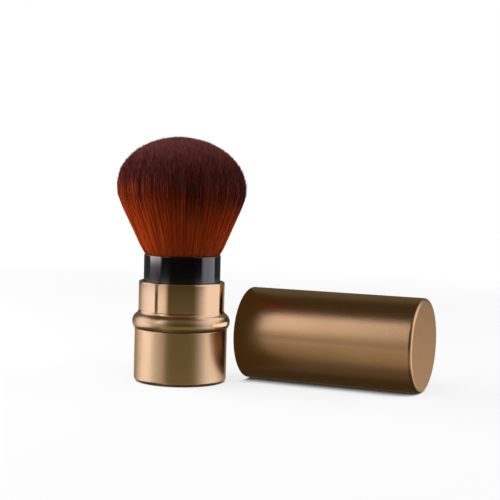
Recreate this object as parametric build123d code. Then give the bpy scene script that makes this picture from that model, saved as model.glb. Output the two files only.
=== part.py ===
from build123d import *

import math
import os

# Retractable makeup brush: a fibre tuft in a ferrule on a keyed post, a sleeve that slides up round
# the tuft, and a cap taken off and lying beside it. Millimetres, +Z up, the origin at the middle of
# the foot on the table. The cap's axis lies along +X.

# Driving sizes of the brush
ferrule_radius = 13.65
ferrule_length = 17.9
ferrule_show = 9.4
slide_travel = 22.0
barrel_top = 19.0
shell_wall = 0.5
body_wall = 2.12
neck_wall = 0.92

# Fits and clearances
glue_clearance = 0.03
guide_clearance = 0.2
bush_clearance = 0.1
ring_clearance = 0.02
key_clearance = 0.15
stop_clearance = 0.1
foot_clearance = 0.2
grip_clearance = 0.08
overrun = 1.0

# Barrel shell: a drawn tube whose foot rolls in to a rim, held just off the table
rim_lift = 0.3
rim_corner = 1.0
rim_width = 1.1
barrel_edge = 0.3

# Collar shell: one turned shell of bead, hollow shoulder and straight collar
crease_gap = 0.05
crease_overhang = 0.1
bead_proud = 0.94
bead_rise = 2.3
shoulder_height = 4.1
lip_round = 0.6
lip_reach = 1.2

# Retaining ring, its keys, and the mouth bush
bush_height = 1.3
ring_seat_wall = 0.62
ring_height = 2.0
key_count = 3
key_width = 2.0
key_depth = 0.8

# Core post, foot and weight
foot_disc_thickness = 0.9
foot_disc_border = 0.9
foot_disc_stand = 0.35
foot_flange_top = 3.0
spigot_radius = 8.0
spigot_height = 3.0
post_bore = 5.2
post_seat = 4.0
weight_length = 18.0
weight_clearance = 0.1

# Ferrule cup, its groove and what it holds
socket_wall = 1.12
cup_wall = 0.75
cup_floor = 1.2
mouth_chamfer = 0.4
mouth_chamfer_height = 1.0
ferrule_edge = 0.25
band_section = 0.85
band_groove_height = 1.1
band_groove_rise = 1.6
glue_height = 3.9
root_clearance = 0.3
root_gap = 0.05
binding_height = 3.0
binding_rise = 2.0

# Tuft: packed root, straight flare, then a dome
tuft_count = 340
tuft_overhang = 9.25
flare_length = 20.5
belly_length = 3.9
dome_height = 17.9
root_drop = 1.1
strand_sink = 0.2
strand_root = 0.5
strand_belly = 0.9
strand_tip = 0.4
strand_sides = 3
belly_rise_share = 0.5
tip_draw_share = 0.97

# Cap, lying on the table with its mouth towards the brush
cap_step = 0.05
cap_length = 65.2
cap_corner = 1.2
cap_gap = 1.36
cap_aside = 4.05
cap_edge = 0.2
cap_end_wall = 0.8
liner_inset = 0.6
liner_wall = 0.6
liner_lead = 0.4

# Radii from the inside out: ferrule, liner, collar, barrel and bead, then the cap
liner_bore = ferrule_radius + guide_clearance
liner_neck_radius = liner_bore + neck_wall
collar_bore = liner_neck_radius + glue_clearance
collar_radius = collar_bore + shell_wall
liner_radius = liner_bore + body_wall
barrel_bore = liner_radius + glue_clearance
barrel_radius = barrel_bore + shell_wall
rim_radius = barrel_radius - rim_width
crease_radius = barrel_radius + crease_overhang
bead_radius = barrel_radius + bead_proud
ring_seat = liner_radius - ring_seat_wall
post_radius = ferrule_radius - socket_wall - glue_clearance
ring_bore = post_radius + guide_clearance
foot_flange_radius = min(rim_radius, ring_seat) - foot_clearance
foot_disc_radius = foot_flange_radius - foot_disc_border
cup_bore = ferrule_radius - cup_wall
root_radius = cup_bore - root_clearance
tuft_radius = ferrule_radius + tuft_overhang
cap_radius = barrel_radius + cap_step
cap_bore = cap_radius - shell_wall
cap_liner_bore = collar_radius + grip_clearance
cap_mouth_x = bead_radius + cap_gap
cap_axis_y = cap_radius + cap_aside

# Heights from the table up: ring, ferrule and what it holds, sleeve, tuft
liner_bottom = rim_lift + rim_corner + stop_clearance
ring_bottom = foot_flange_top + stop_clearance
ring_top = ring_bottom + ring_height
ferrule_bottom = ring_top + slide_travel + stop_clearance
ferrule_top = ferrule_bottom + ferrule_length
groove_bottom = ferrule_bottom + band_groove_rise
post_top = ferrule_bottom + post_seat
cup_bottom = post_top + glue_clearance + cup_floor
glue_top = cup_bottom + glue_height
root_bottom = glue_top + root_gap
root_top = ferrule_top - root_drop
sleeve_top = ferrule_top - ferrule_show
bush_top = sleeve_top - shell_wall - stop_clearance
liner_top = bush_top - bush_height
bead_height = barrel_top + bead_rise
shoulder_top = bead_height + shoulder_height
flare_top = ferrule_top + flare_length
dome_base = flare_top + belly_length
tuft_top = dome_base + dome_height

# The bead's and the shoulder's arcs, which meet in line at the waist
bead_round = ((bead_radius - crease_radius) ** 2 + (bead_height - barrel_top - crease_gap) ** 2) / (
    2 * (bead_radius - crease_radius)
)
bead_centre = (bead_radius - bead_round, bead_height)
shoulder_run = collar_radius - bead_centre[0]
shoulder_rise = shoulder_top - bead_height
shoulder_round = (shoulder_run**2 + shoulder_rise**2 - bead_round**2) / (
    2 * (bead_round - shoulder_run)
)
shoulder_centre = (collar_radius + shoulder_round, shoulder_top)
waist_angle = math.degrees(
    math.atan2(shoulder_rise, shoulder_centre[0] - bead_centre[0])
)

half_turn = 180
quarter_turn = 90
golden_angle = half_turn * (3 - math.sqrt(5))


def turned(edges):
    """A solid turned about +Z from the edges of its half section, drawn as (radius, height)."""
    return revolve(Plane.XZ * make_face(edges), Axis.Z)


def tube(outer, inner, bottom, top):
    """A plain round tube, or a disc where inner is 0."""
    outline = Polyline((inner, bottom), (outer, bottom), (outer, top), (inner, top), close=True)
    return turned(outline.edges())


def bead_edges(inset):
    """The bead's round and the hollow shoulder above it, from the crease up, moved in by inset."""
    round_radius = bead_round - inset
    drop = bead_height - barrel_top - crease_gap
    start = -math.degrees(math.asin(drop / round_radius))
    bead = CenterArc(bead_centre, round_radius, start, waist_angle - start)
    shoulder = CenterArc(
        shoulder_centre, shoulder_round + inset, half_turn + waist_angle, -waist_angle
    )
    return bead, shoulder


def collar_shell():
    """The bead, shoulder and collar, with a lip that rolls in over the mouth bush."""
    bead, shoulder = bead_edges(0)
    inner_bead, inner_shoulder = bead_edges(shell_wall)
    lip_start = sleeve_top - lip_round
    lip_radius = collar_radius - lip_reach
    lip_under = sleeve_top - shell_wall
    lip = CenterArc((collar_radius - lip_round, lip_start), lip_round, 0, quarter_turn)
    inside = Polyline(
        lip @ 1, (lip_radius, sleeve_top), (lip_radius, lip_under), (collar_bore, lip_under),
        inner_shoulder @ 1,
    )
    return turned(
        [
            bead, shoulder, Line(shoulder @ 1, lip @ 0), lip, *inside.edges(),
            inner_shoulder, inner_bead, Line(inner_bead @ 0, bead @ 0),
        ]
    )


def barrel_shell():
    """The straight barrel: a rounded top edge at the crease and a foot rolled in to the rim."""
    foot_height = rim_lift + rim_corner
    inner_corner = rim_corner - shell_wall
    foot = (barrel_radius - rim_corner, foot_height)
    edge = CenterArc(
        (barrel_radius - barrel_edge, barrel_top - barrel_edge), barrel_edge, 0, quarter_turn
    )
    outer_foot = CenterArc(foot, rim_corner, -quarter_turn, quarter_turn)
    inner_foot = CenterArc(foot, inner_corner, -quarter_turn, quarter_turn)
    top = Polyline(edge @ 1, (barrel_bore, barrel_top), inner_foot @ 1)
    rim = Polyline(
        inner_foot @ 0, (rim_radius, rim_lift + shell_wall), (rim_radius, rim_lift), outer_foot @ 0
    )
    return turned(
        [outer_foot, Line(outer_foot @ 1, edge @ 0), edge, *top.edges(), inner_foot, *rim.edges()]
    )


def sleeve_liner():
    """The moulded tube under both shells: bore for the ferrule, seat for the retaining ring."""
    bead, _ = bead_edges(shell_wall + glue_clearance)
    bead_foot = bead @ 0
    flange_top = bead_height + bead_foot.X - liner_neck_radius
    outline = Polyline(
        (liner_bore, ring_top), (ring_seat, ring_top), (ring_seat, liner_bottom),
        (liner_radius, liner_bottom), (liner_radius, bead_foot.Y), (bead_foot.X, bead_foot.Y),
        (bead_foot.X, bead_height), (liner_neck_radius, flange_top),
        (liner_neck_radius, liner_top), (liner_bore, liner_top), close=True,
    )
    return turned(outline.edges())


def key(width, inner, outer, bottom, top):
    """A block between two radii, on +X, which makes a key or the cutter of its groove."""
    reach = outer - inner
    block = Box(reach, width, top - bottom, align=(Align.MIN, Align.CENTER, Align.MIN))
    return Pos(inner, 0, bottom) * block


def keys(width, inner, outer, bottom, top):
    """The keys, or the cutters of their grooves, spaced evenly round the post."""
    return [
        Rot(0, 0, index * 2 * half_turn / key_count) * key(width, inner, outer, bottom, top)
        for index in range(key_count)
    ]


def retaining_ring():
    """The ring that is trapped between the foot and the ferrule, with keys in the post's grooves."""
    ring = tube(ring_seat - glue_clearance, ring_bore, ring_bottom, ring_top)
    key_tip = post_radius - key_depth + key_clearance
    return ring.fuse(*keys(key_width, key_tip, ring_bore + key_depth, ring_bottom, ring_top))


def mouth_bush():
    """The bearing ring between the liner's end and the collar's lip."""
    return tube(
        liner_neck_radius, ferrule_radius + bush_clearance, liner_top, bush_top
    )


def core_post():
    """The post inside the sleeve: a blind bore for the weight and grooves for the keys."""
    post = tube(post_radius, 0, foot_flange_top, post_top)
    seat = tube(spigot_radius, 0, foot_flange_top - overrun, foot_flange_top + spigot_height)
    bore_top = foot_flange_top + spigot_height + weight_length + weight_clearance
    bore = tube(post_bore, 0, foot_flange_top, bore_top)
    grooves = keys(
        key_width + 2 * key_clearance, post_radius - key_depth, post_radius + overrun,
        foot_flange_top - overrun, ferrule_bottom,
    )
    return post - [seat, bore, *grooves]


def foot_plug():
    """The flange that the sleeve rests on, with a spigot up into the post and a recess below."""
    flange = tube(foot_flange_radius, 0, foot_disc_stand, foot_flange_top)
    spigot = tube(
        spigot_radius - glue_clearance, 0, foot_flange_top, foot_flange_top + spigot_height
    )
    recess = tube(
        foot_disc_radius + glue_clearance, 0, foot_disc_stand - overrun, foot_disc_thickness
    )
    return flange + spigot - recess


def foot_disc():
    """The trim disc that the brush stands on."""
    return tube(foot_disc_radius, 0, 0, foot_disc_thickness)


def weight_slug():
    """The steel slug in the post's bore, on top of the spigot."""
    bottom = foot_flange_top + spigot_height
    return tube(post_bore - weight_clearance, 0, bottom, bottom + weight_length)


def ferrule():
    """The glossy cup: a socket for the post below, a groove outside, a cup for the tuft above."""
    edge = CenterArc(
        (ferrule_radius - ferrule_edge, ferrule_top - ferrule_edge), ferrule_edge, 0, quarter_turn
    )
    socket = post_radius + glue_clearance
    groove_radius = liner_bore - ring_clearance - band_section - glue_clearance
    groove_top = groove_bottom + band_groove_height
    outside = Polyline(
        edge @ 0, (ferrule_radius, groove_top), (groove_radius, groove_top),
        (groove_radius, groove_bottom), (ferrule_radius, groove_bottom),
        (ferrule_radius, ferrule_bottom), (socket, ferrule_bottom),
        (socket, cup_bottom - cup_floor), (0, cup_bottom - cup_floor), (0, cup_bottom),
        (cup_bore, cup_bottom), (cup_bore, ferrule_top - mouth_chamfer_height),
        (cup_bore + mouth_chamfer, ferrule_top), edge @ 1,
    )
    return turned([edge, *outside.edges()])


def friction_ring():
    """The square-cut rubber ring in the ferrule's groove that drags in the liner's bore."""
    outer = liner_bore - ring_clearance
    top = groove_bottom + band_groove_height - glue_clearance
    return tube(outer, outer - band_section, groove_bottom + glue_clearance, top)


def glue_bed():
    """The cast resin on the cup's floor."""
    return tube(cup_bore - glue_clearance, 0, cup_bottom, glue_top)


def root_band():
    """The binding round the tuft's packed root."""
    bottom = root_bottom + binding_rise
    return tube(
        cup_bore - glue_clearance, root_radius + glue_clearance, bottom, bottom + binding_height
    )


def triangle(reach, height, size):
    """The corners of a strand's section, level, with one corner outwards."""
    return [
        Vector(
            reach + size * math.cos(math.radians(corner * 2 * half_turn / strand_sides)),
            size * math.sin(math.radians(corner * 2 * half_turn / strand_sides)),
            height,
        )
        for corner in range(strand_sides)
    ]


def strand(index):
    """One clump of fibres: straight out along the flare, then up to the dome, thin at the tip."""
    share = math.sqrt((index + 0.5) / tuft_count)
    belly_line = tuft_radius - strand_belly
    rise = (tuft_top - dome_base) * math.sqrt(1 - share**2)
    stations = (
        (root_radius - strand_root, root_top - strand_sink, strand_root),
        (belly_line, flare_top + rise * belly_rise_share, strand_belly),
        (belly_line * tip_draw_share, dome_base + rise, strand_tip),
    )
    rings = [triangle(reach * share, height, size) for reach, height, size in stations]
    outlines = [rings[0], rings[-1]]
    for lower, upper in zip(rings, rings[1:]):
        for corner in range(strand_sides):
            before = corner - 1
            outlines.append([lower[before], lower[corner], upper[corner], upper[before]])
    sides = [Face(Wire.make_polygon(outline)) for outline in outlines]
    return Rot(0, 0, index * golden_angle) * Solid(Shell(sides))


def bristle_tuft():
    """The fibres: a packed root in the cup, and strands set out as a sunflower's seeds."""
    root = tube(root_radius, 0, root_bottom, root_top)
    return root.fuse(Compound([strand(index) for index in range(tuft_count)]))


def laid_down(shape):
    """Carries a cap piece, made mouth down on +Z, to its place on its side on the table."""
    return Pos(cap_mouth_x, cap_axis_y, cap_radius) * Rot(0, quarter_turn, 0) * shape


def cap_shell():
    """The drawn cap: a closed end that rolls over into the side, and a softened mouth edge."""
    mouth = CenterArc((cap_radius - cap_edge, cap_edge), cap_edge, 0, -quarter_turn)
    corner = CenterArc(
        (cap_radius - cap_corner, cap_length - cap_corner), cap_corner, 0, quarter_turn
    )
    inside = Polyline(
        corner @ 1, (0, cap_length), (0, cap_length - cap_end_wall),
        (cap_bore, cap_length - cap_end_wall), (cap_bore, 0), mouth @ 1,
    )
    return laid_down(
        turned([mouth, Line(mouth @ 0, corner @ 0), corner, *inside.edges()])
    )


def cap_liner():
    """The inner cup that slips over the collar, with a lead-in at its mouth."""
    outer = cap_bore - glue_clearance
    end = cap_length - cap_end_wall - glue_clearance
    outline = Polyline(
        (cap_liner_bore + liner_lead, liner_inset), (outer, liner_inset), (outer, end), (0, end),
        (0, end - liner_wall), (cap_liner_bore, end - liner_wall),
        (cap_liner_bore, liner_inset + liner_lead), close=True,
    )
    return laid_down(turned(outline.edges()))


pieces = (
    foot_disc, foot_plug, weight_slug, core_post, ferrule, friction_ring, glue_bed, root_band,
    bristle_tuft, collar_shell, barrel_shell, sleeve_liner, retaining_ring, mouth_bush,
    cap_shell, cap_liner,
)

os.makedirs("parts", exist_ok=True)
for piece in pieces:
    export_step(piece(), f"parts/{piece.__name__}.step")
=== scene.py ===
"""Looks of the retractable makeup brush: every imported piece's finish, the tuft's fibres, the studio."""

import logging
import math
from dataclasses import dataclass, field
from enum import Enum
from typing import Any

import bpy
import numpy as np
from mathutils import Matrix, Vector


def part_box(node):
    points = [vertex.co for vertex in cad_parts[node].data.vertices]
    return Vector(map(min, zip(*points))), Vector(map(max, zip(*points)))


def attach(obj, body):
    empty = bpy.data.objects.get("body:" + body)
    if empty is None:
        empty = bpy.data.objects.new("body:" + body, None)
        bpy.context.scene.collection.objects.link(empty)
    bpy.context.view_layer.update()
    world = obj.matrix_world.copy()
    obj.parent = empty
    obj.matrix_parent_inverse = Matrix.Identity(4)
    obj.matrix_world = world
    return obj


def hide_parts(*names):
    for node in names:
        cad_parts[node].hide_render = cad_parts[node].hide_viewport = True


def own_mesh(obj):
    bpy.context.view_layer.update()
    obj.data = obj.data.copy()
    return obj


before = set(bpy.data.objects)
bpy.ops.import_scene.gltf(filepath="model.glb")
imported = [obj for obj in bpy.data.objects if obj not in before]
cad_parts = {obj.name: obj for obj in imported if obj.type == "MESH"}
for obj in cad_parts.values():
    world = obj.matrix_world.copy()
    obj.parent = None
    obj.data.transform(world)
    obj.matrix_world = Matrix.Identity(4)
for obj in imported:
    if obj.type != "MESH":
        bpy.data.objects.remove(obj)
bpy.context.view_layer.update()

MM = 0.001
FULL_TURN = 2 * math.pi
GOLDEN_ANGLE = math.pi * (3 - math.sqrt(5))
DEGREES = 180.0 / math.pi

Colour = tuple[float, float, float, float]
BLACK: Colour = (0.0, 0.0, 0.0, 1.0)
WHITE: Colour = (1.0, 1.0, 1.0, 1.0)

log = logging.getLogger("brush")


class BodyName(Enum):
    """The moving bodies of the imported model."""

    CORE = "core"
    SLEEVE = "sleeve"
    CAP = "cap"


class Wire:
    """A node socket whose arithmetic adds Math nodes to its graph."""

    def __init__(self, graph: "Graph", socket: Any) -> None:
        """Wraps a socket.

        Args:
            graph: The graph that the socket belongs to.
            socket: The output socket.
        """
        self.graph = graph
        self.socket = socket

    def _maths(self, operation: str, *values: "Wire | float") -> "Wire":
        """Adds one Math node.

        Args:
            operation: The node's operation.
            values: Its inputs, in order.

        Returns:
            The node's result.
        """
        node = self.graph.node("ShaderNodeMath", {"operation": operation}, dict(enumerate(values)))
        return Wire(self.graph, node.outputs[0])

    def __add__(self, other: "Wire | float") -> "Wire":
        """Sum."""
        return self._maths("ADD", self, other)

    def __radd__(self, other: float) -> "Wire":
        """Sum, reflected."""
        return self._maths("ADD", other, self)

    def __sub__(self, other: "Wire | float") -> "Wire":
        """Difference."""
        return self._maths("SUBTRACT", self, other)

    def __rsub__(self, other: float) -> "Wire":
        """Difference, reflected."""
        return self._maths("SUBTRACT", other, self)

    def __mul__(self, other: "Wire | float") -> "Wire":
        """Product."""
        return self._maths("MULTIPLY", self, other)

    def clamped(self) -> "Wire":
        """The value held between 0 and 1."""
        return self._maths("MINIMUM", self._maths("MAXIMUM", self, 0.0), 1.0)

    def larger(self, other: "Wire | float") -> "Wire":
        """The larger of two values.

        Args:
            other: The other value.

        Returns:
            The larger one.
        """
        return self._maths("MAXIMUM", self, other)

    def size(self) -> "Wire":
        """The value without its sign."""
        return self._maths("ABSOLUTE", self)

    def arc_sine(self) -> "Wire":
        """The angle whose sine this is, in radians."""
        return self._maths("ARCSINE", self)

    def angle_over(self, other: "Wire") -> "Wire":
        """The angle of the direction that has this aside and the other ahead.

        Args:
            other: The part ahead.

        Returns:
            The angle in radians.
        """
        return self._maths("ARCTAN2", self, other)

    def step_between(self, low: "Wire | float", high: "Wire | float") -> "Wire":
        """A smooth step.

        Args:
            low: Where the step starts.
            high: Where the step ends.

        Returns:
            0 below low, 1 above high, and a smooth rise between them.
        """
        settings = {"interpolation_type": "SMOOTHSTEP"}
        node = self.graph.node("ShaderNodeMapRange", settings, {0: self, 1: low, 2: high, 3: 0.0, 4: 1.0})
        return Wire(self.graph, node.outputs[0])


class Graph:
    """A material's or world's node tree, emptied and ready to be filled."""

    def __init__(self, tree: bpy.types.NodeTree) -> None:
        """Empties a tree.

        Args:
            tree: The node tree.
        """
        self.tree = tree
        tree.nodes.clear()

    def node(
        self,
        kind: str,
        settings: dict[str, Any] | None = None,
        inputs: dict[str | int, Any] | None = None,
    ) -> bpy.types.Node:
        """Adds any node.

        Args:
            kind: The node's type.
            settings: Its properties, set first.
            inputs: The value or link of each input, by name or number.

        Returns:
            The new node.
        """
        made = self.tree.nodes.new(kind)
        for name, value in (settings or {}).items():
            setattr(made, name, value)
        for key, value in (inputs or {}).items():
            if isinstance(value, Wire):
                self.tree.links.new(value.socket, made.inputs[key])
            else:
                made.inputs[key].default_value = value
        return made

    def wire(
        self,
        kind: str,
        output: str | int,
        settings: dict[str, Any] | None = None,
        inputs: dict[str | int, Any] | None = None,
    ) -> Wire:
        """Adds a node and wraps one of its outputs.

        Args:
            kind: The node's type.
            output: The output's name or number.
            settings: The node's properties.
            inputs: The node's inputs.

        Returns:
            The wrapped output.
        """
        return Wire(self, self.node(kind, settings, inputs).outputs[output])

    def place(self) -> Wire:
        """Object coordinates, in metres."""
        return self.wire("ShaderNodeTexCoord", "Object")

    def height_of(self, vector: Wire) -> Wire:
        """A vector's upward part.

        Args:
            vector: The vector.

        Returns:
            Its z.
        """
        return self.wire("ShaderNodeSeparateXYZ", "Z", {}, {"Vector": vector})

    def along(self, vector: Wire, direction: tuple[float, float, float]) -> Wire:
        """How far a vector reaches along a direction.

        Args:
            vector: The vector.
            direction: The direction, whose length scales the result.

        Returns:
            Their dot product.
        """
        settings = {"operation": "DOT_PRODUCT"}
        return self.wire("ShaderNodeVectorMath", "Value", settings, {0: vector, 1: direction})

    def stretched(self, vector: Wire, scale: tuple[float, float, float]) -> Wire:
        """A vector scaled along its axes.

        Args:
            vector: The vector.
            scale: The factor along each axis.

        Returns:
            The scaled vector.
        """
        return self.wire("ShaderNodeMapping", "Vector", {}, {"Vector": vector, "Scale": scale})

    def noise(self, vector: Wire, scale: float, detail: float = 2.0, roughness: float = 0.5) -> Wire:
        """A noise pattern.

        Args:
            vector: Where it is read.
            scale: Its cells in a metre.
            detail: Its octaves.
            roughness: How strong the finer octaves are.

        Returns:
            The pattern, 0 to 1.
        """
        inputs = {"Vector": vector, "Scale": scale, "Detail": detail, "Roughness": roughness}
        return self.wire("ShaderNodeTexNoise", "Fac", {}, inputs)

    def blend(self, share: Wire, first: Any, second: Any) -> Wire:
        """Mixes two colours.

        Args:
            share: How much of the second shows.
            first: A colour, or a wire that holds one.
            second: The other colour.

        Returns:
            The mixed colour.
        """
        settings = {"data_type": "RGBA", "clamp_factor": True}
        node = self.node("ShaderNodeMix", settings, {0: share, 6: first, 7: second})
        return Wire(self, node.outputs[2])

    def bump(self, height: Wire, depth: float) -> Wire:
        """A surface normal raised by a height.

        Args:
            height: The height, 0 to 1.
            depth: The height of 1, in metres.

        Returns:
            The normal.
        """
        inputs = {"Strength": 1.0, "Distance": depth, "Height": height}
        return self.wire("ShaderNodeBump", "Normal", {}, inputs)

    def mixed(self, share: Wire, first: bpy.types.Node, second: bpy.types.Node) -> bpy.types.Node:
        """Mixes two shaders.

        Args:
            share: How much of the second shows.
            first: A shader.
            second: The other shader.

        Returns:
            The mixed shader.
        """
        inputs = {0: share, 1: Wire(self, first.outputs[0]), 2: Wire(self, second.outputs[0])}
        return self.node("ShaderNodeMixShader", {}, inputs)

    def finish(self, shader: bpy.types.Node, kind: str = "ShaderNodeOutputMaterial") -> None:
        """Joins a shader to the output.

        Args:
            shader: The shader node.
            kind: The output node's type.
        """
        output = self.node(kind)
        self.tree.links.new(shader.outputs[0], output.inputs["Surface"])


@dataclass(frozen=True)
class Finish:
    """What every finish has: its material's name."""

    name: str

    def material(self) -> bpy.types.Material:
        """The finished material."""
        made = bpy.data.materials.new(self.name)
        made.use_nodes = True
        self.fill(Graph(made.node_tree))
        return made

    def fill(self, graph: Graph) -> None:
        """Fills the material's graph.

        Args:
            graph: The empty graph.
        """
        raise NotImplementedError


@dataclass(frozen=True)
class AnodisedGold(Finish):
    """Champagne anodised aluminium, from bright dipped to satin.

    The scales of a pattern are its cells in a metre, and the depths are in metres.
    """

    tint: Colour = (0.82, 0.535, 0.315, 1.0)
    deep_tint: Colour = (0.77, 0.485, 0.27, 1.0)
    roughness: float = 0.25
    roughness_swing: float = 0.05
    grain_scale: float = 5200.0
    grain_depth: float = 0.9e-6
    peel_scale: float = 1400.0
    peel_depth: float = 1.0e-6
    cloud_scale: float = 90.0

    def fill(self, graph: Graph) -> None:
        """Fills the graph: even metal, cloudy dye, and the etch's fine grain.

        Args:
            graph: The empty graph.
        """
        place = graph.place()
        grain = graph.noise(place, self.grain_scale, detail=3.0, roughness=0.7)
        peel = graph.noise(place, self.peel_scale)
        relief = grain + peel * (self.peel_depth / self.grain_depth)
        cloud = graph.noise(place, self.cloud_scale)
        colour = graph.blend(cloud, self.tint, self.deep_tint)
        swing = (grain - 0.5) * self.roughness_swing + (cloud - 0.5) * (self.roughness_swing / 2)
        shader = graph.node(
            "ShaderNodeBsdfPrincipled", {},
            {
                "Base Color": colour, "Metallic": 1.0, "Roughness": self.worn(graph, place) + swing,
                "Normal": graph.bump(relief, self.grain_depth),
            },
        )
        graph.finish(shader)

    def worn(self, graph: Graph, place: Wire) -> Wire | float:
        """The roughness before the grain, the same all over.

        Args:
            graph: The graph.
            place: Object coordinates.

        Returns:
            The roughness.
        """
        return self.roughness


@dataclass(frozen=True)
class CollarGold(AnodisedGold):
    """The collar shell's gold: satin on the bead and shoulder, bright on the straight collar."""

    satin_roughness: float = 0.30
    satin_top: float = 24.2 * MM
    bright_from: float = 25.8 * MM

    def worn(self, graph: Graph, place: Wire) -> Wire:
        """The roughness by height.

        Args:
            graph: The graph.
            place: Object coordinates.

        Returns:
            The roughness before the grain.
        """
        bright = graph.height_of(place).step_between(self.satin_top, self.bright_from)
        return self.satin_roughness + bright * (self.roughness - self.satin_roughness)


@dataclass(frozen=True)
class BlackLacquer(Finish):
    """Deep gloss black, with the faint unevenness of a polished moulding."""

    tint: Colour = (0.0022, 0.0019, 0.0019, 1.0)
    worn_tint: Colour = (0.0045, 0.0039, 0.0038, 1.0)
    roughness: float = 0.06
    roughness_swing: float = 0.04
    ripple_scale: float = 160.0
    ripple_depth: float = 3e-6
    dust_scale: float = 4000.0
    index: float = 1.65
    gloss_tint: Colour = (1.0, 0.84, 0.90, 1.0)
    coat: float = 1.0
    coat_roughness: float = 0.03

    def fill(self, graph: Graph) -> None:
        """Fills the graph: black under a clear gloss.

        Args:
            graph: The empty graph.
        """
        place = graph.place()
        ripple = graph.noise(place, self.ripple_scale)
        dust = graph.noise(place, self.dust_scale, roughness=0.6)
        shader = graph.node(
            "ShaderNodeBsdfPrincipled", {},
            {
                "Base Color": graph.blend(dust, self.tint, self.worn_tint),
                "Roughness": self.roughness + (dust - 0.5) * self.roughness_swing,
                "IOR": self.index, "Specular Tint": self.gloss_tint,
                "Coat Weight": self.coat, "Coat Roughness": self.coat_roughness,
                "Normal": graph.bump(ripple, self.ripple_depth),
            },
        )
        graph.finish(shader)


@dataclass(frozen=True)
class Moulded(Finish):
    """A plain moulded or cast material with a fine texture."""

    tint: Colour = (0.02, 0.02, 0.021, 1.0)
    pale_tint: Colour = (0.035, 0.034, 0.034, 1.0)
    roughness: float = 0.48
    roughness_swing: float = 0.15
    metallic: float = 0.0
    texture_scale: float = 3000.0
    texture_depth: float = 6e-6
    stretch: tuple[float, float, float] = (1.0, 1.0, 1.0)

    def fill(self, graph: Graph) -> None:
        """Fills the graph: an even tint under a spark-eroded or turned texture.

        Args:
            graph: The empty graph.
        """
        place = graph.stretched(graph.place(), self.stretch)
        texture = graph.noise(place, self.texture_scale, detail=3.0, roughness=0.6)
        shader = graph.node(
            "ShaderNodeBsdfPrincipled", {},
            {
                "Base Color": graph.blend(texture, self.tint, self.pale_tint),
                "Metallic": self.metallic,
                "Roughness": self.roughness + (texture - 0.5) * self.roughness_swing,
                "Normal": graph.bump(texture, self.texture_depth),
            },
        )
        graph.finish(shader)


@dataclass(frozen=True)
class DyedFibre(Finish):
    """Two-tone fibres: orange-brown at the root, dark burgundy from the dye line to the tip.

    The share of rust in the lower colour, and of the pale tint in the upper one, is a sum of patterns.
    The pale share also grows by height towards the dome's top, which is painted top light.
    """

    amber: Colour = (0.60, 0.086, 0.010, 1.0)
    rust: Colour = (0.26, 0.020, 0.003, 1.0)
    burgundy: Colour = (0.030, 0.0030, 0.0020, 1.0)
    # The pale tint serves both a few paler fibres and the painted top light on the dome.
    pale_fibre_and_top_light: Colour = (0.235, 0.066, 0.057, 1.0)
    dye_height: float = 64.0 * MM
    # The dye line falls towards +x and +y: partly the dye, partly painted shade on the side away from the
    # main lamp.
    dye_and_shade_tilt: tuple[float, float, float] = (-0.10, -0.05, 0.0)
    dye_wander: float = 11.0 * MM
    dye_softness: float = 8.0 * MM
    streak_scale: float = 330.0
    streak_stretch: tuple[float, float, float] = (1.0, 1.0, 0.07)
    rust_streak: float = 0.75
    rust_clump: float = 0.4
    rust_single: float = 0.3
    rust_held_back: float = 0.25
    # A height band at the dome's top, where the pale tint is painted in as top light and the speckle is
    # strongest.
    dome_top_from: float = 74.5 * MM
    dome_top_full: float = 91.5 * MM
    pale_single: float = 0.4
    pale_clump: float = 0.15
    painted_top_light: float = 0.7
    pale_held_back: float = 0.13
    speckle_scale: float = 1500.0
    speckle: float = 2.3
    speckle_on_dome_top: float = 0.8
    # Painted shade on the strands towards the tuft's middle.
    root_shade: float = 0.62
    roughness: float = 0.42
    roughness_swing: float = 0.2
    gloss: float = 0.07

    def fill(self, graph: Graph) -> None:
        """Fills the graph: colour by height, with a dye line that wanders from clump to clump.

        Args:
            graph: The empty graph.
        """
        place = graph.place()
        fibre = graph.wire("ShaderNodeAttribute", "Vector", {"attribute_name": Tuft.ATTRIBUTE})
        marks = graph.node("ShaderNodeSeparateXYZ", {}, {0: fibre})
        single, clump, depth = (Wire(graph, output) for output in marks.outputs)
        height = graph.height_of(place)
        streak = graph.noise(
            graph.stretched(place, self.streak_stretch), self.streak_scale, detail=3.0, roughness=0.6
        )
        wander = (streak - 0.5) * self.dye_wander + (clump - 0.5) * (self.dye_wander / 2)
        wander = wander + (single - 0.5) * self.dye_softness
        # The line's tilt is partly painted shade, with the dark colour reaching lower on the tuft's shaded
        # side.
        line = self.dye_height + graph.along(place, self.dye_and_shade_tilt) + wander
        dyed = height.step_between(line - self.dye_softness, line + self.dye_softness)
        rusty = streak * self.rust_streak + clump * self.rust_clump + single * self.rust_single
        warm = graph.blend((rusty - self.rust_held_back).clamped(), self.amber, self.rust)
        # Painted top light: the dome's top is painted towards the pale tint by height.
        dome_top = height.step_between(self.dome_top_from, self.dome_top_full)
        reach = dome_top * self.speckle_on_dome_top + (1.0 - self.speckle_on_dome_top)
        fleck = (graph.noise(place, self.speckle_scale, roughness=0.6) - 0.5) * self.speckle * reach
        # The pale share holds the fibres' own paler tone and the painted top light.
        pale = single * self.pale_single + clump * self.pale_clump + dome_top * self.painted_top_light
        dark = graph.blend((pale - self.pale_held_back + fleck).clamped(), self.burgundy, self.pale_fibre_and_top_light)
        colour = graph.blend(dyed, warm, dark)
        # Painted shade: the nearer a strand stands to the tuft's middle, the darker it is painted.
        shaded = graph.blend(((1.0 - depth) * self.root_shade).clamped(), colour, BLACK)
        shader = graph.node(
            "ShaderNodeBsdfPrincipled", {},
            {
                "Base Color": shaded, "Roughness": self.roughness + (single - 0.5) * self.roughness_swing,
                "Specular IOR Level": self.gloss,
            },
        )
        graph.finish(shader)


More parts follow.
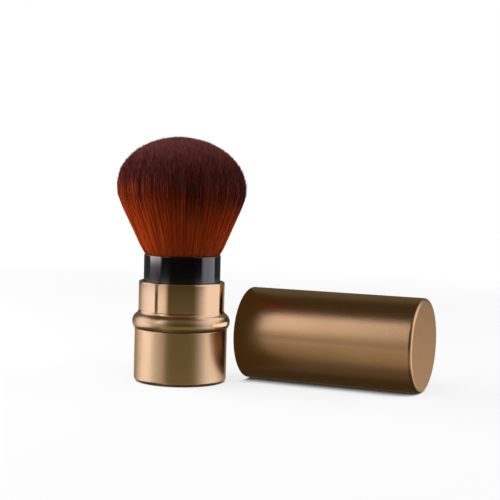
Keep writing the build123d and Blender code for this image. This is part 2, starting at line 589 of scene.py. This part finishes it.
@dataclass(frozen=True)
class BoardFace(Finish):
    """The face of a board that paints a reflection: an even glow from the front, and clear from behind."""

    colour: Colour

    def fill(self, graph: Graph) -> None:
        """Fills the graph: glow or clear by the side that is met.

        Args:
            graph: The empty graph.
        """
        back = graph.wire("ShaderNodeNewGeometry", "Backfacing")
        face = graph.node("ShaderNodeEmission", {}, {"Color": self.colour, "Strength": 1.0})
        graph.finish(graph.mixed(back, face, graph.node("ShaderNodeBsdfTransparent")))


@dataclass(frozen=True)
class TableWhite(Finish):
    """The white table, which keeps the contact shadow and thins out into the surround.

    The eye sees it lit and glowing, without the glow where the object shuts it in. It lends the object
    a plain bounce of light, and reflections don't show it.
    """

    tint: Colour = (0.12, 0.12, 0.12, 1.0)
    glow: Colour = (0.80, 0.80, 0.80, 1.0)
    bounce: Colour = (0.28, 0.28, 0.28, 1.0)
    fade_from: float = 0.25
    fade_to: float = 0.55
    shadow_reach: float = 11.5 * MM
    shadow_open: float = 0.48
    shadow_samples: int = 16

    def fill(self, graph: Graph) -> None:
        """Fills the graph: one shader for the eye, one for the bounce, and clear for the rest.

        Args:
            graph: The empty graph.
        """
        reach = graph.wire("ShaderNodeVectorMath", "Value", {"operation": "LENGTH"}, {0: graph.place()})
        fade = reach.step_between(self.fade_from, self.fade_to)
        path = graph.node("ShaderNodeLightPath")
        camera = Wire(graph, path.outputs["Is Camera Ray"])
        glossy = Wire(graph, path.outputs["Is Glossy Ray"])
        lit = graph.node("ShaderNodeBsdfDiffuse", {}, {"Color": self.tint})
        bright = graph.node("ShaderNodeEmission", {}, {"Color": self.glow, "Strength": 1.0})
        shaders = {0: Wire(graph, lit.outputs[0]), 1: Wire(graph, bright.outputs[0])}
        open_table = graph.node("ShaderNodeAddShader", {}, shaders)
        samples = {"samples": self.shadow_samples}
        openness = graph.wire("ShaderNodeAmbientOcclusion", "AO", samples, {"Distance": self.shadow_reach})
        seen = graph.mixed(openness.step_between(0.0, self.shadow_open), lit, open_table)
        plain = graph.node("ShaderNodeBsdfDiffuse", {}, {"Color": self.bounce})
        surface = graph.mixed(camera, plain, seen)
        clear = graph.node("ShaderNodeBsdfTransparent")
        graph.finish(graph.mixed((fade * camera).larger(glossy), surface, clear))


def deselect_all() -> None:
    """Clears the selection, as an operator acts on all that is selected."""
    bpy.ops.object.select_all(action="DESELECT")


def dress(node: str, material: bpy.types.Material) -> None:
    """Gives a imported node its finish.

    Args:
        node: The node's name.
        material: The finish.
    """
    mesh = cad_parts[node].data
    mesh.materials.clear()
    mesh.materials.append(material)
    log.info("dressed %s with %s", node, material.name)


@dataclass
class Tuft:
    """The tuft: thousands of fine strands in sectors.

    A strand is a few rings long, from its root in the ferrule to its tip on the dome.
    """

    ATTRIBUTE = "fibre"
    AT_ONCE = 2000

    strands: int = 30000
    sectors: int = 20
    seed: int = 7
    thickness: float = 0.085 * MM
    taper_from: float = 0.7
    tip_width: float = 0.4
    root_depth: float = 1.2 * MM
    root_radius: float = 12.55 * MM
    cone_radius: float = 13.58 * MM
    cone_slope: float = 0.447
    belly_radius: float = 22.85 * MM
    belly_height: float = 69.2 * MM
    crown_drop: float = 0.4 * MM
    lean: tuple[float, float] = (-0.0307, -0.0134)
    belly_bend: float = 0.5 * MM
    draw_height: float = 34.0 * MM
    rings: int = 6
    clumps: int = 900
    clump_pull: float = 0.09
    clump_bend: float = 1.6
    frizz: float = 0.22 * MM
    wave: float = 0.04 * MM
    wave_turns: float = 0.75
    tip_scatter: float = 0.75 * MM
    flyaway_share: float = 0.03
    flyaway_reach: float = 0.7 * MM
    whisker_share: float = 0.12
    whisker_reach: float = 0.55 * MM
    gather: float = 0.67
    fibre: DyedFibre = DyedFibre("two_tone_fibre")
    rim: float = field(init=False)
    top: float = field(init=False)

    def __post_init__(self) -> None:
        """Reads the ferrule's rim and the tuft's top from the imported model."""
        self.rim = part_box("ferrule")[1][2]
        self.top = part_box("bristle_tuft")[1][2]

    def _template(self) -> tuple[np.ndarray, list[tuple[int, ...]]]:
        """Models one straight strand: a three-sided rod cut into rings.

        Returns:
            Its corners, with height 0 to 1, and its faces.
        """
        deselect_all()
        bpy.ops.mesh.primitive_cylinder_add(vertices=3, radius=1.0, depth=1.0, location=(0.0, 0.0, 0.5))
        rod = bpy.context.active_object
        bpy.ops.object.mode_set(mode="EDIT")
        for ring in range(1, self.rings):
            bpy.ops.mesh.select_all(action="SELECT")
            height = ring / self.rings
            bpy.ops.mesh.bisect(plane_co=(0.0, 0.0, height), plane_no=(0.0, 0.0, 1.0))
        bpy.ops.object.mode_set(mode="OBJECT")
        corners = np.empty(len(rod.data.vertices) * 3)
        rod.data.vertices.foreach_get("co", corners)
        corners = corners.reshape(-1, 3) + np.array((0.0, 0.0, 0.5))
        faces = [tuple(face.vertices) for face in rod.data.polygons]
        bpy.data.objects.remove(rod)
        return corners, faces

    def _outline(self, height: np.ndarray) -> np.ndarray:
        """The tuft's radius at a height: a cone that bends into the belly and then draws in.

        Args:
            height: Heights in metres.

        Returns:
            The radius at each height.
        """
        cone = self.cone_radius + self.cone_slope * (height - self.rim)
        bend = self.belly_bend
        eased = -bend * np.log(np.exp(-cone / bend) + math.exp(-self.belly_radius / bend))
        above = np.clip(height - self.belly_height, 0.0, None) / self.draw_height
        return eased * np.sqrt(1.0 - above**2)

    def _paths(self, random: np.random.Generator) -> tuple[np.ndarray, np.ndarray, np.ndarray]:
        """Lays out every strand's middle line.

        Args:
            random: The seeded source of scatter.

        Returns:
            The points (strand, ring, axis), each strand's angle, and its share of the radius.
        """
        count = self.strands
        order = np.arange(count)
        share = np.sqrt((order + 0.5) / count)
        angle = order * GOLDEN_ANGLE
        dome = self.top - self.crown_drop - self.belly_height
        rise = np.sqrt((1.0 - share**2) / (1.0 / dome**2 - share**2 / self.draw_height**2))
        tip = self.belly_height + rise - np.abs(random.normal(0.0, self.tip_scatter, count))
        tip += (random.random(count) < self.whisker_share) * random.random(count) * self.whisker_reach
        start = self.rim - self.root_depth
        steps = np.linspace(0.0, 1.0, self.rings + 1)
        height = start + (tip - start)[:, None] * steps[None, :]
        radius = share[:, None] * self._outline(height)
        inside = np.clip((height - start) / (2.0 * self.root_depth), 0.0, 1.0)
        root = share[:, None] * self.root_radius
        radius = root + (radius - root) * inside
        line = np.stack(
            [radius * np.cos(angle)[:, None], radius * np.sin(angle)[:, None], height], axis=2
        )
        line[:, :, :2] += (height - start)[:, :, None] * np.array(self.lean)
        return line, angle, share

    def _clump(self, line: np.ndarray, random: np.random.Generator) -> np.ndarray:
        """Draws each strand's upper part towards the leading strand of its clump.

        Args:
            line: The strands' points, changed in place.
            random: The seeded source of scatter.

        Returns:
            Each strand's clump shade, 0 to 1.
        """
        leaders = random.choice(len(line), self.clumps, replace=False)
        belly = self.rings - 2
        spots = line[:, belly, :2]
        near = np.empty(len(line), dtype=int)
        for first in range(0, len(line), self.AT_ONCE):
            last = first + self.AT_ONCE
            apart = spots[first:last, None, :] - spots[None, leaders, :]
            near[first:last] = np.argmin((apart**2).sum(axis=2), axis=1)
        pull = self.clump_pull * np.linspace(0.0, 1.0, self.rings + 1) ** self.clump_bend
        aim = line[leaders][near]
        line[:, :, :2] += (aim - line)[:, :, :2] * pull[None, :, None]
        return random.random(self.clumps)[near]

    def _scatter(
        self, line: np.ndarray, angle: np.ndarray, share: np.ndarray, random: np.random.Generator
    ) -> None:
        """Adds frizz along the strands and a few flyaways.

        Args:
            line: The strands' points, changed in place.
            angle: Each strand's angle.
            share: Each strand's share of the radius.
            random: The seeded source of scatter.
        """
        count = len(line)
        steps = np.linspace(0.0, 1.0, self.rings + 1)
        stray = random.normal(0.0, self.frizz, (count, 2))
        wave = random.normal(0.0, self.wave, (count, 2))
        line[:, :, :2] += stray[:, None, :] * (steps**2)[None, :, None]
        line[:, :, :2] += wave[:, None, :] * np.sin(steps * FULL_TURN * self.wave_turns)[None, :, None]
        loose = random.random(count) < self.flyaway_share
        reach = random.random(count) * self.flyaway_reach * loose * share
        out = np.stack([np.cos(angle), np.sin(angle)], axis=1)
        line[:, :, :2] += (out * reach[:, None])[:, None, :] * (steps**3)[None, :, None]

    def _sector_mesh(
        self,
        name: str,
        line: np.ndarray,
        marks: np.ndarray,
        random: np.random.Generator,
        template: tuple[np.ndarray, list[tuple[int, ...]]],
    ) -> bpy.types.Object:
        """Makes one sector's strands from copies of the template.

        Args:
            name: The piece's name.
            line: The sector's strand lines.
            marks: Each strand's marks: its own shade, its clump's, and its share of the radius.
            random: The seeded source of scatter.
            template: The straight strand.

        Returns:
            The piece.
        """
        corners, faces = template
        ring = np.rint(corners[:, 2] * self.rings).astype(int)
        steps = np.arange(self.rings + 1) / self.rings
        taper = np.interp(steps, (self.taper_from, 1.0), (1.0, self.tip_width))
        count = len(line)
        turn = random.random(count) * FULL_TURN
        cos, sin = np.cos(turn)[:, None], np.sin(turn)[:, None]
        width = self.thickness * taper[ring]
        x, y = corners[:, 0] * width, corners[:, 1] * width
        points = line[:, ring, :].copy()
        points[:, :, 0] += cos * x - sin * y
        points[:, :, 1] += sin * x + cos * y
        size = len(corners)
        mesh = bpy.data.meshes.new(name)
        mesh.vertices.add(count * size)
        mesh.vertices.foreach_set("co", points.astype(np.float32).ravel())
        loops = np.concatenate([np.array(face) for face in faces])
        lengths = np.array([len(face) for face in faces])
        starts = np.concatenate([[0], np.cumsum(lengths)[:-1]])
        shift = np.arange(count)[:, None]
        mesh.loops.add(count * len(loops))
        mesh.loops.foreach_set("vertex_index", (loops[None, :] + shift * size).ravel().astype(np.int32))
        mesh.polygons.add(count * len(faces))
        begins = starts[None, :] + shift * len(loops)
        mesh.polygons.foreach_set("loop_start", begins.ravel().astype(np.int32))
        mesh.polygons.foreach_set("use_smooth", np.ones(count * len(faces), dtype=bool))
        mesh.update(calc_edges=True)
        mark = mesh.attributes.new(self.ATTRIBUTE, "FLOAT_VECTOR", "POINT")
        values = np.repeat(marks, size, axis=0)
        mark.data.foreach_set("vector", values.astype(np.float32).ravel())
        piece = bpy.data.objects.new(name, mesh)
        bpy.context.scene.collection.objects.link(piece)
        return piece

    def build(self) -> None:
        """Makes the sectors and attaches them to the core's body."""
        random = np.random.default_rng(self.seed)
        template = self._template()
        line, angle, share = self._paths(random)
        clump = self._clump(line, random)
        self._scatter(line, angle, share, random)
        marks = np.stack([random.random(len(line)), clump, share], axis=1)
        sector = np.floor(np.mod(angle, FULL_TURN) / FULL_TURN * self.sectors).astype(int)
        material = self.fibre.material()
        for index in range(self.sectors):
            chosen = sector == index
            name = f"bristles_{index + 1:02d}"
            piece = self._sector_mesh(name, line[chosen], marks[chosen], random, template)
            piece.data.materials.append(material)
            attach(piece, BodyName.CORE.value)
            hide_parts("bristle_tuft")
            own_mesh(piece)
            log.info("made %s with %d strands", name, int(chosen.sum()))


@dataclass
class Core:
    """The post, ferrule and foot that the tuft stands on."""

    lacquer: Finish = BlackLacquer("black_lacquer")
    moulded: Finish = Moulded("moulded_black")
    trim: Finish = AnodisedGold("satin_gold_trim", roughness=0.3)
    steel: Finish = Moulded(
        "turned_steel", tint=(0.52, 0.52, 0.54, 1.0), pale_tint=(0.62, 0.62, 0.63, 1.0), roughness=0.3,
        metallic=1.0, texture_scale=900.0, texture_depth=3e-6, stretch=(0.2, 0.2, 6.0),
    )
    rubber: Finish = Moulded("soft_rubber", tint=(0.03, 0.03, 0.03, 1.0), roughness=0.7)
    resin: Finish = Moulded(
        "cast_resin", tint=(0.42, 0.30, 0.14, 1.0), pale_tint=(0.5, 0.38, 0.2, 1.0), roughness=0.25,
        texture_scale=260.0,
    )
    thread: Finish = Moulded(
        "binding_thread", tint=(0.08, 0.05, 0.04, 1.0), pale_tint=(0.14, 0.09, 0.07, 1.0), roughness=0.8,
        texture_scale=400.0, texture_depth=4e-5, stretch=(0.3, 0.3, 8.0),
    )

    def dress(self) -> None:
        """Gives each piece of the core its finish."""
        black = self.moulded.material()
        for node in ("foot_plug", "core_post"):
            dress(node, black)
        dress("ferrule", self.lacquer.material())
        dress("foot_disc", self.trim.material())
        dress("weight_slug", self.steel.material())
        dress("friction_ring", self.rubber.material())
        dress("glue_bed", self.resin.material())
        dress("root_band", self.thread.material())


@dataclass
class Sleeve:
    """The gold collar and barrel on their moulded liner."""

    bright: Finish = CollarGold("bright_gold", roughness=0.07, roughness_swing=0.02)
    satin: Finish = AnodisedGold("satin_gold")
    moulded: Finish = Moulded("moulded_black_liner")

    def dress(self) -> None:
        """Gives each piece of the sleeve its finish."""
        dress("collar_shell", self.bright.material())
        dress("barrel_shell", self.satin.material())
        black = self.moulded.material()
        for node in ("sleeve_liner", "retaining_ring", "mouth_bush"):
            dress(node, black)


@dataclass
class Cap:
    """The loose cap, lying on its side."""

    satin: Finish = AnodisedGold(
        "satin_gold_cap", tint=(0.82, 0.475, 0.262, 1.0), deep_tint=(0.77, 0.425, 0.222, 1.0),
        roughness=0.29, roughness_swing=0.10, peel_depth=2.4e-5,
    )
    moulded: Finish = Moulded("moulded_black_cap")

    def dress(self) -> None:
        """Gives the cap's shell and liner their finishes."""
        dress("cap_shell", self.satin.material())
        dress("cap_liner", self.moulded.material())


@dataclass(frozen=True)
class SoftBox:
    """A flat studio lamp, placed round the brush by its bearing from the front.

    Bearings are degrees, positive to the right, and lengths are metres. The glow is its face's.
    """

    name: str
    bearing: float
    distance: float
    width: float
    tall: float
    height: float
    glow: float

    def place(self, front: Vector, right: Vector, middle: Vector) -> None:
        """Makes the lamp.

        Args:
            front: The level direction from the brush to the front of the studio.
            right: The level direction to the right, seen from the front.
            middle: The point that the lamp faces.
        """
        lamp = bpy.data.lights.new(self.name, "AREA")
        lamp.shape = "RECTANGLE"
        lamp.size = self.width
        lamp.size_y = self.tall
        lamp.energy = self.glow * math.pi * self.width * self.tall
        turn = math.radians(self.bearing)
        aim = front * math.cos(turn) + right * math.sin(turn)
        where = Vector((middle.x, middle.y, 0.0)) + aim * self.distance
        where.z = self.height
        holder = bpy.data.objects.new(self.name, lamp)
        holder.location = where
        holder.rotation_mode = "QUATERNION"
        holder.rotation_quaternion = (middle - where).to_track_quat("-Z", "Y")
        holder.visible_camera = False
        holder.visible_glossy = False
        bpy.context.scene.collection.objects.link(holder)
        log.info("placed lamp %s", self.name)


@dataclass(frozen=True)
class Card:
    """A part of the room that the metal mirrors: a softbox's face, a wall, or the dark before it.

    Bearings are degrees from the front, positive to the right; rises are degrees above level. A card
    on both sides has its bearings to the left as well.
    """

    glow: float
    bearings: tuple[float, float]
    rises: tuple[float, float]
    bearing_blur: float
    rise_blur: float
    tint: tuple[float, float, float] = (1.0, 1.0, 1.0)
    both_sides: bool = False

    def over(self, graph: Graph, below: Any, bearing: Wire, rise: Wire) -> Wire:
        """Lays the card over what the room shows so far.

        Args:
            graph: The world's graph.
            below: The colour so far.
            bearing: The direction's bearing.
            rise: The direction's rise.

        Returns:
            The colour with the card.
        """
        turned = bearing.size() if self.both_sides else bearing
        wide = self._window(turned, self.bearings, self.bearing_blur)
        tall = self._window(rise, self.rises, self.rise_blur)
        return graph.blend(wide * tall, below, (*(self.glow * share for share in self.tint), 1.0))

    @staticmethod
    def _window(value: Wire, limits: tuple[float, float], blur: float) -> Wire:
        """A soft-edged window.

        Args:
            value: The angle.
            limits: Where the window is half open.
            blur: Half the width of its soft edges.

        Returns:
            1 inside and 0 outside.
        """
        low, high = limits
        past = value.step_between(high - blur, high + blur)
        return value.step_between(low - blur, low + blur) * (1.0 - past)


@dataclass(frozen=True)
class PaintedReflectionBoard:
    """An upright glowing board between the brush and the cap, which only their reflections show: it paints
    a reflection, and is no lamp.

    Its back is clear, so that one of the two mirrors it and the other doesn't. It stands across the
    x axis at one place, reaches from one y to another and from one height to another, and then leans
    over sideways. It may reach below the table, which reflections don't show.
    """

    name: str
    along: float
    across: tuple[float, float]
    heights: tuple[float, float]
    colour: Colour
    faces: BodyName
    lean_degrees: float = 0.0

    def place(self) -> None:
        """Makes the board as a flat sheet that glossy rays alone meet."""
        deselect_all()
        middle = (self.along, sum(self.across) / 2, sum(self.heights) / 2)
        quarter = FULL_TURN / 4 if self.faces is BodyName.CAP else -FULL_TURN / 4
        bpy.ops.mesh.primitive_plane_add(size=1.0, location=middle, rotation=(0.0, quarter, 0.0))
        board = bpy.context.active_object
        board.name = self.name
        board.scale = (self.heights[1] - self.heights[0], self.across[1] - self.across[0], 1.0)
        bpy.ops.object.transform_apply(location=False, rotation=True, scale=True)
        board.rotation_euler.x = -math.radians(self.lean_degrees)
        bpy.ops.object.transform_apply(location=True, rotation=True, scale=True)
        board.data.materials.append(BoardFace(self.name, self.colour).material())
        board.visible_camera = False
        board.visible_diffuse = False
        board.visible_shadow = False
        board.visible_transmission = False
        log.info("placed board %s", self.name)


# The rises that the brush's three upright walls mirror towards the camera, in degrees above level.
BARREL_RISES = (-12.0, -7.2)
COLLAR_RISES = (-7.2, -5.1)
FERRULE_RISES = (-5.1, -2.2)


@dataclass
class Studio:
    """The camera, the table, the white surround, the lamps, the cards, and the glowing boards that paint
    reflections.

    The eye, sight, roll and lens are the photograph's, fitted to its proportions. An upright wall of the
    brush mirrors a narrow band of rises, by how far it lies below the eye: the barrel, collar and ferrule
    each have cards of their own, laid over those that the bead and the cap mirror.
    """

    eye: tuple[float, float, float] = (195.29 * MM, -387.79 * MM, 74.09 * MM)
    sight: tuple[float, float, float] = (-0.39896, 0.91490, -0.06157)
    roll_degrees: float = 1.49
    lens: float = 87.67
    sensor: float = 36.0
    near: float = 0.01
    far: float = 20.0
    table_size: float = 3.0
    table: Finish = TableWhite("table_white")
    ambient: Colour = (0.12, 0.12, 0.12, 1.0)
    middle: tuple[float, float, float] = (0.02, 0.01, 0.04)
    dark_room: Colour = (0.052, 0.044, 0.022, 1.0)
    lamps: tuple[SoftBox, ...] = (
        SoftBox("left_box", -100.0, distance=0.55, width=0.50, tall=0.28, height=0.17, glow=16.0),
        SoftBox("right_box", 102.0, distance=0.55, width=0.44, tall=0.28, height=0.17, glow=7.2),
        SoftBox("top_box", -12.0, distance=0.24, width=0.50, tall=0.50, height=0.62, glow=4.4),
    )
    # A card's glow, bearings, rises, blur of its sides, blur of its top and foot, tint, and both sides.
    cards: tuple[Card, ...] = (
        Card(0.096, (-56.0, 60.0), (-6.9, -5.1), 6.0, 0.3, (1.0, 0.96, 0.56)),
        Card(0.21, (-60.0, 60.0), (-45.0, -6.9), 12.0, 1.0, (1.0, 1.0, 0.60)),
        Card(0.14, (-36.0, 50.0), (24.0, 72.0), 10.0, 12.0, (1.0, 0.92, 0.60)),
        Card(0.12, (110.0, 200.0), (-5.0, 52.0), 9.0, 8.0, (1.0, 1.02, 0.66), True),
        Card(0.34, (112.0, 200.0), (-22.0, -5.1), 9.0, 1.0, (1.06, 0.91, 0.56), True),
        Card(0.11, (-112.0, -40.0), (-95.0, -52.0), 14.0, 8.0, (1.0, 0.88, 0.62)),
        Card(0.13, (-68.0, -35.0), (-64.0, 20.0), 8.0, 12.0, (1.0, 0.94, 0.72)),
        Card(0.43, (-50.0, -35.0), (-50.0, 32.0), 5.0, 14.0, (1.0, 0.98, 0.74)),
        Card(1.36, (-66.0, -45.5), (12.0, 53.0), 6.0, 11.0, (1.0, 1.10, 1.24)),
        Card(1.08, (57.0, 122.0), (-30.0, 54.0), 25.0, 9.0, (1.0, 1.04, 1.18)),
        Card(1.08, (-128.0, -74.0), (-27.0, -11.5), 12.0, 1.0, (1.0, 1.04, 1.20)),
        Card(1.04, (-122.0, -52.0), BARREL_RISES, 24.0, 0.4, (1.0, 1.04, 1.20)),
        Card(1.06, (-98.0, -53.0), BARREL_RISES, 6.0, 0.4, (1.0, 1.05, 1.24)),
        Card(1.08, (-128.0, -76.0), (-2.2, 40.0), 10.0, 2.0, (1.0, 1.04, 1.20)),
        Card(1.08, (-128.0, -60.0), COLLAR_RISES, 24.0, 0.2, (1.0, 1.04, 1.22)),
        Card(1.16, (-98.0, -70.0), COLLAR_RISES, 2.0, 0.2, (1.0, 1.05, 1.30)),
        Card(1.05, (-66.0, -40.0), COLLAR_RISES, 9.0, 0.2, (1.0, 1.02, 1.10)),
        Card(0.05, (-72.6, -63.2), COLLAR_RISES, 0.8, 0.2),
        Card(0.008, (-112.0, 112.0), FERRULE_RISES, 2.5, 0.25),
        Card(0.30, (-110.0, -66.0), FERRULE_RISES, 4.0, 0.25),
        Card(0.10, (-79.0, -73.0), (-5.1, -4.2), 1.5, 0.2),
        Card(3.60, (-108.0, -64.0), (-4.15, -2.2), 5.0, 0.25),
        Card(0.80, (64.5, 113.0), FERRULE_RISES, 2.5, 0.25),
        Card(1.70, (90.0, 111.0), FERRULE_RISES, 8.0, 0.25),
        Card(0.06, (113.0, 200.0), FERRULE_RISES, 2.0, 0.25, (1.0, 1.0, 1.0), True),
    )
    reflection_boards: tuple[PaintedReflectionBoard, ...] = (
        # A dark board that paints the brush's shaded side into the cap's reflection.
        PaintedReflectionBoard(
            "painted_dark_reflection", 18.2 * MM, across=(-22.1 * MM, 12.0 * MM), heights=(-40.0 * MM, 56.0 * MM),
            colour=(0.060, 0.044, 0.014, 1.0), faces=BodyName.CAP, lean_degrees=15.0,
        ),
        # A glowing board that paints a bright highlight on the collar, in place of the cap's reflection.
        PaintedReflectionBoard(
            "painted_collar_highlight", 17.9 * MM, across=(-6.5 * MM, 3.5 * MM), heights=(24.3 * MM, 47.0 * MM),
            colour=(1.08, 1.12, 1.27, 1.0), faces=BodyName.SLEEVE,
        ),
        # A glowing strip that paints a thin highlight along the bead.
        PaintedReflectionBoard(
            "painted_bead_highlight", 17.9 * MM, across=(-6.5 * MM, 3.5 * MM), heights=(20.3 * MM, 22.1 * MM),
            colour=(1.25, 1.30, 1.50, 1.0), faces=BodyName.SLEEVE,
        ),
    )

    def _level(self) -> tuple[Vector, Vector]:
        """Finds the level directions of the photograph.

        Returns:
            The direction from the brush to the front, and the one to the right.
        """
        sight = Vector(self.sight)
        front = Vector((-sight.x, -sight.y, 0.0)).normalized()
        right = sight.cross(Vector((0.0, 0.0, 1.0))).normalized()
        return front, right

    def _camera(self) -> None:
        """Makes the camera at the photograph's place."""
        sight = Vector(self.sight).normalized()
        _, right = self._level()
        up = right.cross(sight)
        roll = math.radians(self.roll_degrees)
        tilted = math.cos(roll) * right + math.sin(roll) * up
        upright = math.cos(roll) * up - math.sin(roll) * right
        data = bpy.data.cameras.new("photograph_camera")
        data.lens = self.lens
        data.sensor_width = self.sensor
        data.clip_start = self.near
        data.clip_end = self.far
        camera = bpy.data.objects.new("photograph_camera", data)
        turn = Matrix((tilted, upright, -sight)).transposed().to_4x4()
        camera.matrix_world = Matrix.Translation(self.eye) @ turn
        bpy.context.scene.collection.objects.link(camera)
        bpy.context.scene.camera = camera

    def _table(self) -> None:
        """Makes the table, level with the brush's foot."""
        deselect_all()
        bpy.ops.mesh.primitive_plane_add(size=self.table_size, location=(0.0, 0.0, 0.0))
        table = bpy.context.active_object
        table.name = "table"
        table.data.materials.append(self.table.material())

    def _surround(self) -> None:
        """Makes the world: white to the eye, the studio's cards to the metal, and a soft fill."""
        world = bpy.data.worlds.new("surround")
        bpy.context.scene.world = world
        world.use_nodes = True
        graph = Graph(world.node_tree)
        front, right = self._level()
        towards = graph.wire("ShaderNodeTexCoord", "Generated")
        ahead = graph.along(towards, tuple(front))
        aside = graph.along(towards, tuple(right))
        bearing = aside.angle_over(ahead) * DEGREES
        rise = graph.height_of(towards).arc_sine() * DEGREES
        mirrored: Any = self.dark_room
        for card in self.cards:
            mirrored = card.over(graph, mirrored, bearing, rise)
        path = graph.node("ShaderNodeLightPath")
        camera, through, glossy = (
            Wire(graph, path.outputs[f"Is {ray} Ray"]) for ray in ("Camera", "Transmission", "Glossy")
        )
        colour = graph.blend(camera.larger(through), graph.blend(glossy, self.ambient, mirrored), WHITE)
        graph.finish(graph.node("ShaderNodeBackground", {}, {"Color": colour}), "ShaderNodeOutputWorld")

    def build(self) -> None:
        """Makes everything that isn't the object."""
        bpy.context.scene.view_settings.view_transform = "Standard"
        self._camera()
        self._table()
        self._surround()
        for reflection_board in self.reflection_boards:
            reflection_board.place()
        front, right = self._level()
        for lamp in self.lamps:
            lamp.place(front, right, Vector(self.middle))


def main() -> None:
    """Builds the studio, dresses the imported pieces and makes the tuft."""
    logging.basicConfig(level=logging.INFO)
    Studio().build()
    Core().dress()
    Sleeve().dress()
    Cap().dress()
    Tuft().build()


if __name__ == "__main__":
    main()
